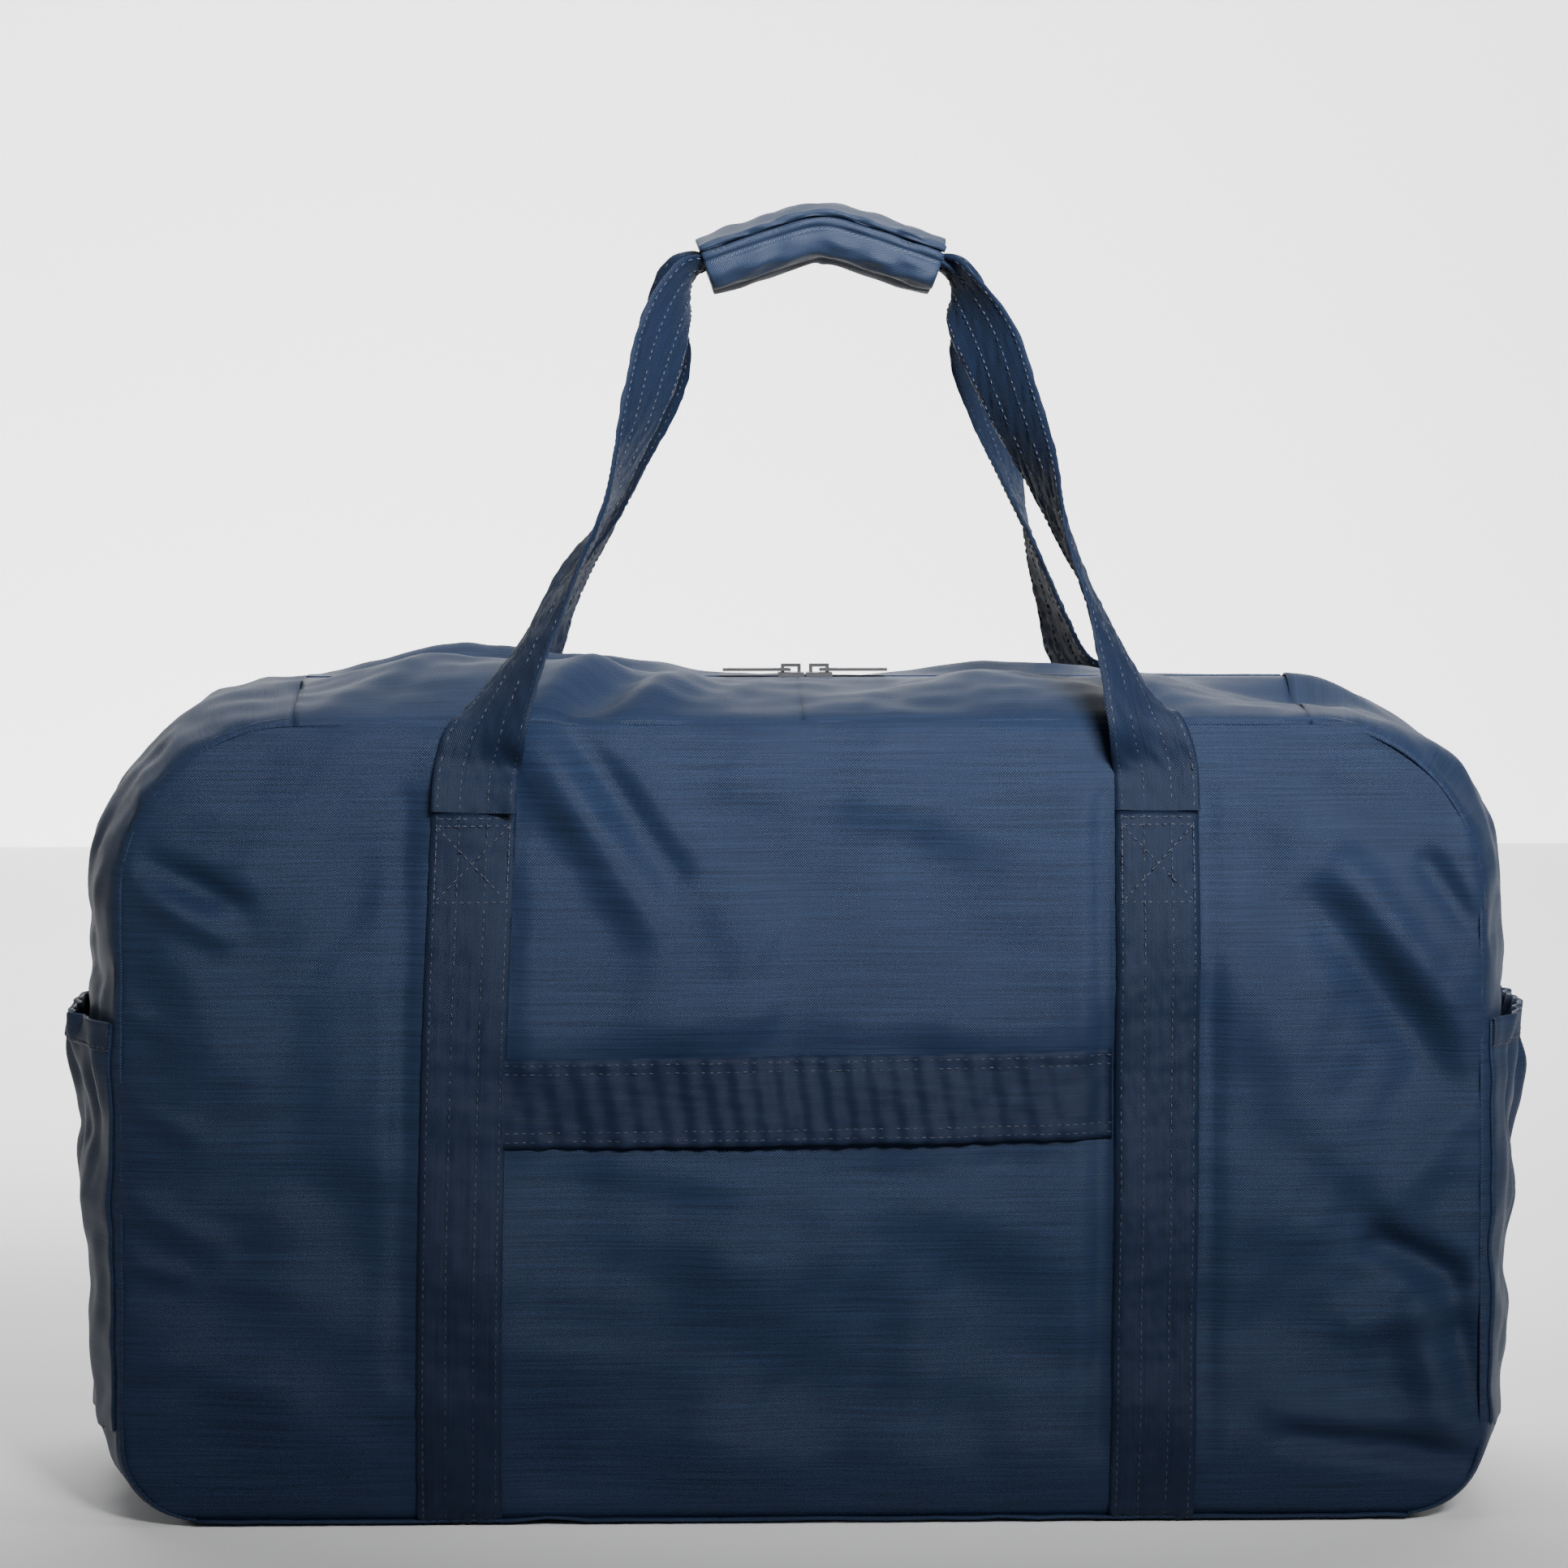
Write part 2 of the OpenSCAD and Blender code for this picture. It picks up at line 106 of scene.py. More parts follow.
def fabric(name, light, dark, pitch, streak=0.5, rough=0.48, diagonal=False, spec=0.16):
    """Woven cloth whose yarns and long slubs follow the mesh's flat coordinates, which are in metres."""
    m = bpy.data.materials.new(name)
    m.use_nodes = True
    nt = m.node_tree
    bsdf = nt.nodes["Principled BSDF"]
    att = nt.nodes.new("ShaderNodeAttribute")
    att.attribute_name = "flat"
    sep = nt.nodes.new("ShaderNodeSeparateXYZ")
    nt.links.new(att.outputs["Vector"], sep.inputs[0])
    x, y = sep.outputs[0], sep.outputs[1]
    if diagonal:
        x, y = math_node(nt, "ADD", x, y), math_node(nt, "MULTIPLY", math_node(nt, "SUBTRACT", x, y), 0.35)
    k = 2 * math.pi / pitch
    wx = math_node(nt, "SINE", math_node(nt, "MULTIPLY", x, k))
    wy = math_node(nt, "SINE", math_node(nt, "MULTIPLY", y, k))
    yarn = math_node(nt, "MULTIPLY", wx, wy)
    grain = nt.nodes.new("ShaderNodeMapping")
    grain.vector_type = "POINT"
    grain.inputs["Scale"].default_value = (16, 1150, 1)
    nt.links.new(att.outputs["Vector"], grain.inputs["Vector"])
    slub = nt.nodes.new("ShaderNodeTexNoise")
    slub.inputs["Scale"].default_value = 1.0
    slub.inputs["Detail"].default_value = 3
    slub.inputs["Roughness"].default_value = 0.62
    nt.links.new(grain.outputs[0], slub.inputs["Vector"])
    ramp = nt.nodes.new("ShaderNodeValToRGB")
    ramp.color_ramp.elements[0].position = 0.34
    ramp.color_ramp.elements[1].position = 0.66
    nt.links.new(slub.outputs[0], ramp.inputs[0])
    shade = math_node(nt, "MULTIPLY", ramp.outputs[0], streak)
    shade = math_node(nt, "ADD", shade, (1 - streak) * 0.5)
    shade = math_node(nt, "ADD", shade, math_node(nt, "MULTIPLY", yarn, 0.16), clamp=True)
    mix = nt.nodes.new("ShaderNodeMix")
    mix.data_type = "RGBA"
    nt.links.new(shade, mix.inputs[0])
    mix.inputs[6].default_value = (*dark, 1)
    mix.inputs[7].default_value = (*light, 1)
    nt.links.new(mix.outputs[2], bsdf.inputs["Base Color"])
    bump = nt.nodes.new("ShaderNodeBump")
    bump.inputs["Strength"].default_value = 0.3
    bump.inputs["Distance"].default_value = 0.0004
    nt.links.new(math_node(nt, "ADD", yarn, math_node(nt, "MULTIPLY", slub.outputs[0], 1.6)), bump.inputs["Height"])
    nt.links.new(bump.outputs[0], bsdf.inputs["Normal"])
    bsdf.inputs["Roughness"].default_value = rough
    bsdf.inputs["Sheen Weight"].default_value = 0.03
    bsdf.inputs["Sheen Roughness"].default_value = 0.45
    bsdf.inputs["Sheen Tint"].default_value = (0.55, 0.68, 0.9, 1)
    bsdf.inputs["Specular IOR Level"].default_value = spec
    return m


def plain(name, colour, rough, metallic=0.0):
    m = bpy.data.materials.new(name)
    m.use_nodes = True
    nt = m.node_tree
    bsdf = nt.nodes["Principled BSDF"]
    tex = nt.nodes.new("ShaderNodeTexNoise")
    tex.inputs["Scale"].default_value = 900
    ramp = nt.nodes.new("ShaderNodeMapRange")
    ramp.inputs[3].default_value = rough - 0.06
    ramp.inputs[4].default_value = rough + 0.06
    nt.links.new(tex.outputs[0], ramp.inputs[0])
    nt.links.new(ramp.outputs[0], bsdf.inputs["Roughness"])
    bsdf.inputs["Base Color"].default_value = (*colour, 1)
    bsdf.inputs["Metallic"].default_value = metallic
    return m


NYLON = fabric("nylon", (0.0128, 0.0246, 0.0555), (0.0037, 0.0076, 0.0195), 0.0011, spec=0.1)
WEB = fabric("webbing", (0.0060, 0.0130, 0.0335), (0.0021, 0.0046, 0.0130), 0.0011, rough=0.56, spec=0.12)
TWILL = fabric("twill", (0.0155, 0.0265, 0.055), (0.0056, 0.0105, 0.0235), 0.0014, streak=0.25, diagonal=True,
               rough=0.5)
TAPE = fabric("zip_tape", (0.018, 0.028, 0.052), (0.008, 0.012, 0.026), 0.0009, streak=0.2, rough=0.7)
THREAD = plain("thread", (0.0085, 0.0140, 0.032), 0.6)
COIL = plain("coil", (0.018, 0.026, 0.045), 0.38)
METAL = plain("gunmetal", (0.055, 0.056, 0.06), 0.34, 0.9)
LOOPS = plain("hook_and_loop", (0.012, 0.017, 0.032), 0.9)


# ---------------------------------------------------------------- shell shape, in millimetres
HALF_W, PANEL_H, BASE_D, TOP_D = 277.0, 323.0, 224.0, 190.0
SHOULDER, FOOT, BULGE, LIFT, WALL = 72.0, 32.0, 12.5, 2.4, 1.1
CROWN_END, CROWN_TOP = 15.5, 12.0
ZIP_FLAT = 11.0
TOP_X, FOOT_X, SIDE_TOP = HALF_W - SHOULDER, HALF_W - FOOT, PANEL_H - SHOULDER


def half_w(z):
    """Half width of the panels at height z, with rounded feet and shoulders."""
    z = np.asarray(z, float)
    low = FOOT_X + np.sqrt(np.clip(FOOT**2 - (FOOT - z) ** 2, 0, None))
    high = TOP_X + np.sqrt(np.clip(SHOULDER**2 - (z - SIDE_TOP) ** 2, 0, None))
    return np.where(z < FOOT, low, np.where(z > SIDE_TOP, high, HALF_W))


def seam_y(z):
    """Distance of the panel seams from the bag's middle plane."""
    return BASE_D / 2 + (TOP_D - BASE_D) / 2 * (np.clip(z, 0, PANEL_H) / PANEL_H) ** 2


WAVE_COUNT = 14


def waves(x, z, size, seed):
    """Smooth random field of about unit height with bumps of the given size."""
    rng = np.random.RandomState(seed)
    total = np.zeros(np.broadcast(x, z).shape)
    for _ in range(WAVE_COUNT):
        a, k, p = rng.uniform(0, math.pi), rng.uniform(0.6, 1.7) / size, rng.uniform(0, 2 * math.pi)
        total = total + np.sin(2 * math.pi * k * (x * math.cos(a) + z * math.sin(a)) + p)
    return total / math.sqrt(WAVE_COUNT / 2)


def crease(x, z, a, b, width, height, skew=0.0):
    """A soft ridge (or a valley, when height is negative) along the segment a-b, fading at its ends."""
    ax, az, bx, bz = a[0], a[1], b[0], b[1]
    dx, dz = bx - ax, bz - az
    length = math.hypot(dx, dz)
    t = ((x - ax) * dx + (z - az) * dz) / length**2
    d = ((x - ax) * dz - (z - az) * dx) / length
    core = np.exp(-((d / width) ** 2)) - 0.45 * np.exp(-(((d - skew * width) / (1.7 * width)) ** 2))
    end = np.exp(-(np.clip(-t, 0, None) * length / (0.8 * width)) ** 2) * np.exp(
        -(np.clip(t - 1, 0, None) * length / (0.8 * width)) ** 2)
    return height * core * end * (0.65 + 0.35 * np.sin(np.clip(t, 0, 1) * math.pi))


def strap_x(side, z):
    """Middle of a body strap at height z; both lean a little to the right as they rise."""
    z = np.clip(np.asarray(z, float), 0, 300) / 300
    return np.where(side < 0, -139 + 7.5 * z**2, 140.5 + 2.2 * z)


def edge_gap(x, z):
    """Rough distance from a panel point to the panel's seam."""
    z = np.asarray(z, float)
    side = half_w(z) - np.abs(x)
    return np.minimum(np.minimum(side, z + 3), PANEL_H - z + 3)


# Creases pressed into the front: two ends (x, z), half width, height and skew.
FRONT_CREASES = (
    (-114, 322, -62, 242, 11, 6.5, 1.2), (-96, 322, -52, 262, 8, -5.5, 0), (-70, 300, -20, 236, 16, 3.0, 0),
    (-178, 320, -222, 256, 14, 4.0, 0), (-150, 300, -196, 226, 12, -3.4, 0), (-262, 264, -228, 250, 7, -6.0, 0),
    (-264, 254, -232, 236, 7, 4.5, 0), (-258, 240, -232, 186, 14, 2.4, 0), (-214, 206, -186, 120, 20, -4.0, 0),
    (218, 262, 268, 200, 11, 7.0, 1.0), (206, 246, 262, 172, 12, -5.5, 0), (252, 264, 274, 236, 7, -6.5, 0),
    (180, 300, 214, 262, 16, 3.4, 0), (176, 226, 214, 150, 20, 3.2, 0),
    (264, 97, 232, 112, 8, -9.0, 0), (266, 86, 222, 80, 9, 6.5, 0), (262, 94, 274, 44, 9, -7.5, 0),
    (246, 86, 258, 42, 11, 6.5, 0), (232, 112, 206, 140, 12, -3.0, 0), (240, 128, 262, 160, 12, 4.0, 0),
    (196, 34, 276, 22, 6, -6.0, 0), (192, 44, 264, 38, 8, 4.0, 0), (-272, 168, -246, 158, 5, 2.0, 1.0),
    (-272, 128, -236, 112, 7, 2.8, 1.0), (-272, 104, -250, 100, 4, 2.0, 1.0), (-272, 206, -252, 196, 5, 1.2, 1.0),
    (-272, 60, -244, 66, 6, 1.8, 1.0), (-118, 300, -119, 180, 6, -2.2, 0), (-160, 290, -162, 60, 6, -3.2, 0),
    (121, 290, 119, 30, 6, -4.0, 0), (163, 290, 162, 30, 6, -2.8, 0), (-112, 197, -20, 204, 12, 2.6, 0),
    (20, 204, 112, 200, 12, 2.4, 0), (-110, 150, -30, 140, 10, 2.2, 0), (10, 138, 108, 146, 10, -2.4, 0),
    (-80, 120, -20, 96, 18, 2.8, 0), (-252, 62, -186, 38, 16, 3.2, 0), (-60, 32, 60, 22, 13, 3.0, 0),
    (30, 112, 100, 84, 22, -2.6, 0), (-20, 296, 90, 282, 20, 2.8, 0))


def front_folds(x, z):
    """Relief of the front: soft waves, puckers beside the side seams and the creases above."""
    f = 2.0 * waves(x, z, 150, 3) + 1.0 * waves(x, z, 70, 5) + 0.3 * waves(x, z, 28, 8)
    edge = np.exp(-np.clip(edge_gap(x, z), 0, None) / 16)
    f = f * (1 - 0.5 * edge)
    f = f + 1.1 * edge * np.sin(z / 4.1 + 1.3 * np.sin(z / 23) + x / 60) * (np.abs(x) > 215)
    for ax, az, bx, bz, w, h, skew in FRONT_CREASES:
        f = f + 1.6 * crease(x, z, (ax, az), (bx, bz), w, h, skew)
    return f


def back_folds(x, z):
    """Relief of the back, calmer than the front."""
    f = 1.6 * waves(x, z, 140, 31) + 0.6 * waves(x, z, 55, 35) + 0.22 * waves(x, z, 24, 38)
    edge = np.exp(-np.clip(edge_gap(x, z), 0, None) / 16)
    f = f * (1 - 0.7 * edge) + 0.9 * edge * np.sin(z / 4.4 + 1.6 * np.sin(z / 19)) * (np.abs(x) > 215)
    f = f + crease(x, z, (100, 318), (70, 250), 9, 3.6, 1.2) + crease(x, z, (-262, 120), (-226, 96), 8, -3.8)
    f = f + crease(x, z, (262, 220), (232, 200), 7, 3.0) + crease(x, z, (-210, 290), (-170, 240), 10, 2.4)
    return f


def panel_out(x, z, folds):
    """How far the panel's outside stands from the bag's middle plane."""
    u = np.clip(np.abs(x) / half_w(z), 0, 1)
    v = np.clip(np.abs(2 * z / PANEL_H - 1), 0, 1)
    belly = BULGE * (1 - u**4) * (1 - v**4)
    gap = np.clip(np.minimum(half_w(z) - np.abs(x), np.minimum(z, PANEL_H - z)), 0, None)
    roll = -3.2 * np.exp(-gap / 2.6)
    fade = 1 - np.exp(-gap / 8)
    return seam_y(z) + belly + roll + folds(x, z) * fade


def front_out(x, z):
    return panel_out(x, z, front_folds)


def back_out(x, z):
    return panel_out(x, z, back_folds)


# ---------------------------------------------------------------- mesh helpers
def build(name, verts, faces, mats, flat, face_mat=None):
    mesh = bpy.data.meshes.new(name)
    mesh.from_pydata((np.asarray(verts) * MM).tolist(), [], [list(map(int, f)) for f in faces])
    for m in mats:
        mesh.materials.append(m)
    if face_mat is not None:
        mesh.polygons.foreach_set("material_index", np.asarray(face_mat, np.int32))
    mesh.polygons.foreach_set("use_smooth", [True] * len(mesh.polygons))
    data = np.zeros((len(verts), 3), np.float32)
    data[:, :2] = np.asarray(flat) * MM
    mesh.attributes.new("flat", "FLOAT_VECTOR", "POINT").data.foreach_set("vector", data.ravel())
    mesh.update()
    obj = bpy.data.objects.new(name, mesh)
    bpy.context.scene.collection.objects.link(obj)
    return obj


def grid_faces(m, n, wrap=False):
    """Quads of an m x n grid of points, closed across n when wrap is set."""
    i, j = np.meshgrid(np.arange(m - 1), np.arange(n if wrap else n - 1), indexing="ij")
    k = (j + 1) % n
    return np.stack([i * n + j, i * n + k, (i + 1) * n + k, (i + 1) * n + j], -1).reshape(-1, 4)


def sheet_mesh(name, P, flat, mat, thick=WALL, flip=False):
    """A skin from a grid of points, thickened inwards."""
    m, n = P.shape[:2]
    f = grid_faces(m, n)
    if flip:
        f = f[:, ::-1]
    obj = build(name, P.reshape(-1, 3), f, [mat], flat.reshape(-1, 2))
    mod = obj.modifiers.new("thickness", "SOLIDIFY")
    mod.thickness = thick * MM
    mod.offset = -1
    return obj


def crowd(u):
    """Spaces values from -1 to 1 more closely near both ends."""
    return np.sign(u) * (1 - (1 - np.abs(u)) ** 1.15)


def stitch_parts(A, B, N, r=0.42):
    """One small raised stitch per row of A and B, standing on normal N."""
    A, B, N = (np.asarray(v, float).reshape(-1, 3) for v in (A, B, N))
    T = B - A
    T = T / np.linalg.norm(T, axis=1, keepdims=True)
    S = np.cross(N, T)
    S = S / np.linalg.norm(S, axis=1, keepdims=True)
    N = np.cross(T, S)
    C = A + (B - A) * 0.22
    D = A + (B - A) * 0.78
    ring = [S * r, N * r, -S * r, -N * r]
    V = np.stack([A] + [C + q for q in ring] + [D + q for q in ring] + [B], 1)
    base = np.array(
        [[0, 1 + (i + 1) % 4, 1 + i, 1 + i] for i in range(4)]
        + [[1 + i, 1 + (i + 1) % 4, 5 + (i + 1) % 4, 5 + i] for i in range(4)]
        + [[9, 5 + i, 5 + (i + 1) % 4, 5 + (i + 1) % 4] for i in range(4)])
    faces = []
    for k in range(len(A)):
        for q in base + 10 * k:
            faces.append([q[0], q[1], q[2]] if q[2] == q[3] else list(q))
    return V.reshape(-1, 3), faces


class Parts:
    """Gathers verts, faces and materials of one object."""

    def __init__(self):
        self.v, self.f, self.m, self.flat, self.n = [], [], [], [], 0

    def add(self, verts, faces, mat, flat=None):
        verts = np.asarray(verts, float).reshape(-1, 3)
        self.v.append(verts)
        self.f += [[int(i) + self.n for i in q] for q in faces]
        self.m += [mat] * len(faces)
        self.flat.append(np.zeros((len(verts), 2)) if flat is None else np.asarray(flat, float).reshape(-1, 2))
        self.n += len(verts)

    def make(self, name, mats):
        return build(name, np.concatenate(self.v), self.f, mats, np.concatenate(self.flat), self.m)


def web_profile(width, thick, rows):
    """Closed cross-section of stitched webbing: positions across it, and heights."""
    s = np.linspace(-width / 2, width / 2, 22)
    edge = np.clip((width / 2 - np.abs(s)) / 1.4, 0, 1)
    h = thick / 2 * np.sqrt(1 - (1 - edge) ** 2) + 0.05
    groove = sum(0.24 * np.exp(-(((s - r) / 0.95) ** 2)) for r in rows)
    return np.concatenate([s, s[::-1]]), np.concatenate([h - groove, -h[::-1]])


def sweep(parts, surf, us, width, thick, rows, mat, along, pucker=0.0, seed=0):
    """Webbing along us, where surf(u, s) gives points and normals; along is each row's distance."""
    s, h = web_profile(width, thick, rows)
    U, S = np.meshgrid(us, s, indexing="ij")
    P, N = surf(U, S)
    H = np.broadcast_to(h, U.shape).copy()
    L = np.broadcast_to(np.asarray(along)[:, None], U.shape)
    if pucker:
        H += pucker * waves(L, S * 2.5, 11, seed) * 0.6 + pucker * np.sin(L / 1.9 + 2 * np.sin(L / 17)) * 0.25
    P = P + N * H[..., None]
    m, n = U.shape
    faces = grid_faces(m, n, wrap=True).tolist()
    faces.append(list(range(n)))
    faces.append([(m - 1) * n + k for k in reversed(range(n))])
    parts.add(P, faces, mat, np.stack([L, S + 0 * L], -1))


STITCH_PITCH, STITCH_LENGTH = 3.4, 2.5


def stitch_rows(parts, surf, us, along, rows, lift, mat, r=0.42):
    """Rows of stitches on the webbing that sweep() makes from the same surf, us and along."""
    along = np.asarray(along)
    a = np.arange(along[0] + 1, along[-1] - STITCH_LENGTH, STITCH_PITCH)
    ua, ub = np.interp(a, along, us), np.interp(a + STITCH_LENGTH, along, us)
    for s in rows:
        A, N = surf(ua, np.full_like(ua, s))
        B, _ = surf(ub, np.full_like(ub, s))
        v, f = stitch_parts(A + N * lift, B + N * lift, N, r)
        parts.add(v, f, mat)


def distance(P):
    """Running length along a list of points."""
    return np.concatenate([[0], np.cumsum(np.linalg.norm(np.diff(P, axis=0), axis=1))])


# ---------------------------------------------------------------- front and back panels
def panel(name, out, sign):
    z = np.concatenate([
        FOOT * (1 - np.cos(np.linspace(0, math.pi / 2, 14)))[:-1],
        np.linspace(FOOT, SIDE_TOP, 82),
        SIDE_TOP + SHOULDER * np.sin(np.linspace(0, math.pi / 2, 34))[1:]])
    Z, U = np.meshgrid(z, crowd(np.linspace(-1, 1, 191)), indexing="ij")
    X = U * half_w(Z)
    P = np.stack([X, sign * out(X, Z), Z + LIFT], -1)
    return sheet_mesh(name, P, np.stack([X, Z], -1), NYLON, flip=sign > 0)


front = panel("front_panel_cloth", front_out, -1)
back = panel("back_panel_cloth", back_out, 1)


# ---------------------------------------------------------------- top line and end gussets
# Where the filled-out top turns: (x, height of its middle over the plain crown). It has a high hump on the left,
# a dip at the sliders, a low hump on the right and a fall to the right shoulder.
TOP_TURNS = ((-205, -1), (-150, 13), (-80, 8), (-15, 0), (25, -1), (80, 5), (150, 2), (205, -8))


def zip_puff(y):
    """Share of the extra height: none beside the zip, which stays straight, and full towards the seams."""
    puff = np.clip((np.abs(y) - ZIP_FLAT) / 26, 0, 1)
    return puff * puff * (3 - 2 * puff)


def top_rise(x):
    """Extra height of the filled-out top over its plain crown, rounded off at the turns."""
    turns = np.array(TOP_TURNS, float)
    return sum(np.interp(x + d, turns[:, 0], turns[:, 1]) for d in (-10, -5, 0, 5, 10)) / 5


def strip_z(x, y):
    """Height of the bag's top over its seams, for |x| up to the shoulders."""
    t = np.clip(np.abs(y) / seam_y(PANEL_H), 0, 1)
    crown = CROWN_TOP * (1 - t**2.4)
    rise = top_rise(x) * zip_puff(y) * (1 - t**2) / 0.8
    roll = -3.0 * np.exp(-(seam_y(PANEL_H) - np.abs(y)) / 2.4)
    f = 0.9 * waves(x, y * 1.2, 70, 51) + 0.25 * waves(x, y, 22, 53)
    f = f + np.where(y < 0, 1, 0.4) * (
        crease(x, y, (-90, -94), (-66, -36), 10, -11.0) + crease(x, y, (-108, -94), (-84, -32), 9, 6.0)
        + crease(x, y, (-66, -92), (-44, -40), 9, 5.0) + crease(x, y, (150, -90), (120, -40), 10, -5.0)
        + crease(x, y, (-190, -80), (-150, -30), 12, 4.0) + crease(x, y, (30, -60), (90, -30), 14, 3.0))
    fade = 1 - np.exp(-(seam_y(PANEL_H) - np.abs(y)) / 10)
    fade = fade * (1 - np.exp(-np.clip(np.abs(y) - ZIP_FLAT, 0, None) / 14))
    return LIFT + PANEL_H + crown + rise + roll + f * fade


def outline_points():
    """Half outline of the shell from the base to the shoulder: x, z, normal x, normal z and crown."""
    a = np.radians(np.linspace(-90, 0, 18))[:-1]
    foot = np.stack([FOOT_X + FOOT * np.cos(a), FOOT + FOOT * np.sin(a), np.cos(a), np.sin(a),
                     CROWN_END * (1 + np.degrees(a) / 90) ** 2], 1)
    z = np.linspace(FOOT, SIDE_TOP, 62)
    side = np.stack([np.full_like(z, HALF_W), z, np.ones_like(z), 0 * z, np.full_like(z, CROWN_END)], 1)
    b = np.radians(np.linspace(0, 90, 40))[1:]
    top = np.stack([TOP_X + SHOULDER * np.cos(b), SIDE_TOP + SHOULDER * np.sin(b), np.cos(b), np.sin(b),
                    CROWN_END + (CROWN_TOP - CROWN_END) * np.degrees(b) / 90], 1)
    return np.concatenate([foot, side, top])


OUTLINE = outline_points()
OUT_S = distance(OUTLINE[:, :2])
UPRIGHT = slice(18, 79)  # the rows of OUTLINE on the straight side


def end_surface(side, S, T, extra=0.0):
    """Points on an end gusset at outline distance S and position T across it."""
    c = [np.interp(S, OUT_S, OUTLINE[:, k]) for k in range(5)]
    norm = np.hypot(c[2], c[3])
    nx, nz = c[2] / norm, c[3] / norm
    half = seam_y(c[1])
    seed = 61 if side < 0 else 67
    y = T * half
    f = 1.1 * waves(S, y, 75, seed) + 0.35 * waves(S, y, 24, seed + 1)
    f = f + 0.7 * np.exp(-(1 - np.abs(T)) * 7) * np.sin(S / 4.3 + side)
    gap = (1 - np.abs(T)) * half
    at_top = np.clip((c[1] - SIDE_TOP) / SHOULDER, 0, 1) ** 3
    valley = at_top**3
    puff = zip_puff(y) / 0.8 * valley + (1 - valley)
    rise = top_rise(side * TOP_X) * at_top * puff * (1 - T**2)
    off = c[4] * (1 - np.abs(T) ** 2.6) - 3.0 * np.exp(-gap / 2.4) + f * (1 - np.exp(-gap / 9)) + rise
    off = off * (1 - np.exp(-S / 22)) + extra
    return np.stack([side * (c[0] + nx * off), y, c[1] + nz * off + LIFT], -1)


def gusset(name, side):
    S, T = np.meshgrid(OUT_S, crowd(np.linspace(-1, 1, 93)), indexing="ij")
    P = end_surface(side, S, T)
    return sheet_mesh(name, P, np.stack([T * 100, S], -1), NYLON, flip=side < 0)


gussets = {s: gusset(f"end_gusset_{n}_cloth", s) for s, n in ((-1, "left"), (1, "right"))}

xs = np.linspace(-FOOT_X, FOOT_X, 60)
ys = np.linspace(-BASE_D / 2, BASE_D / 2, 30)
X, Y = np.meshgrid(xs, ys, indexing="ij")
base = sheet_mesh("base_cloth", np.stack([X, Y, LIFT + 0.2 * waves(X, Y, 60, 71) ** 2], -1), np.stack([X, Y], -1),
                  NYLON, thick=-1.2)


# ---------------------------------------------------------------- top strips, tapes and coils
def top_piece(name, side, sign, y0, y1, x1, cols, mat, drop=0.0, thick=WALL):
    """A quarter of the top from y0 to y1, reaching from the middle to x1."""
    x = side * np.linspace(0.0, x1, 74)
    y = np.linspace(y0, y1, cols)
    Xg, Yg = np.meshgrid(x, y, indexing="ij")
    P = np.stack([Xg, sign * Yg, strip_z(Xg, sign * Yg) - drop], -1)
    return sheet_mesh(name, P, np.stack([Xg, Yg], -1), mat, thick=thick, flip=side * sign > 0)


TAPE_END = 191
strips, tapes, coils = {}, {}, {}
for side, sn in ((-1, "left"), (1, "right")):
    for sign, fn in ((-1, "front"), (1, "back")):
        strips[fn, sn] = top_piece(f"top_strip_{fn}_{sn}_cloth", side, sign, 6.0, seam_y(PANEL_H), TOP_X, 46, NYLON)
        tapes[fn, sn] = top_piece(f"zip_tape_{fn}_{sn}_cloth", side, sign, 1.0, 12.0, TAPE_END, 5, TAPE, drop=2.4,
                                  thick=0.7)
        p = Parts()
        x = side * np.arange(0.4, 190, 1.55)
        y = sign * np.array([0.5, 2.7])
        A = np.stack([x, np.full_like(x, y[0]), strip_z(x, 0 * x) - 0.9], -1)
        B = np.stack([x + 0.25, np.full_like(x, y[1]), strip_z(x, 0 * x) - 1.2], -1)
        v, f = stitch_parts(A, B, np.tile([0, 0, 1.0], (len(x), 1)), 0.62)
        p.add(v, f, 0)
        coils[fn, sn] = p.make(f"zip_coil_{fn}_{sn}_teeth", [COIL])


# ---------------------------------------------------------------- body straps
ROWS = (-14.6, -5.6, 5.6, 14.6)
STRAP_TOP, UNDER, TURN_Z, TURN_R, TURN_SHARE = 286, 232, 6, 7.4, 0.055
STRAP_W, STRAP_OFF = 34, 1.1
BACK_START = STRAP_TOP + UNDER


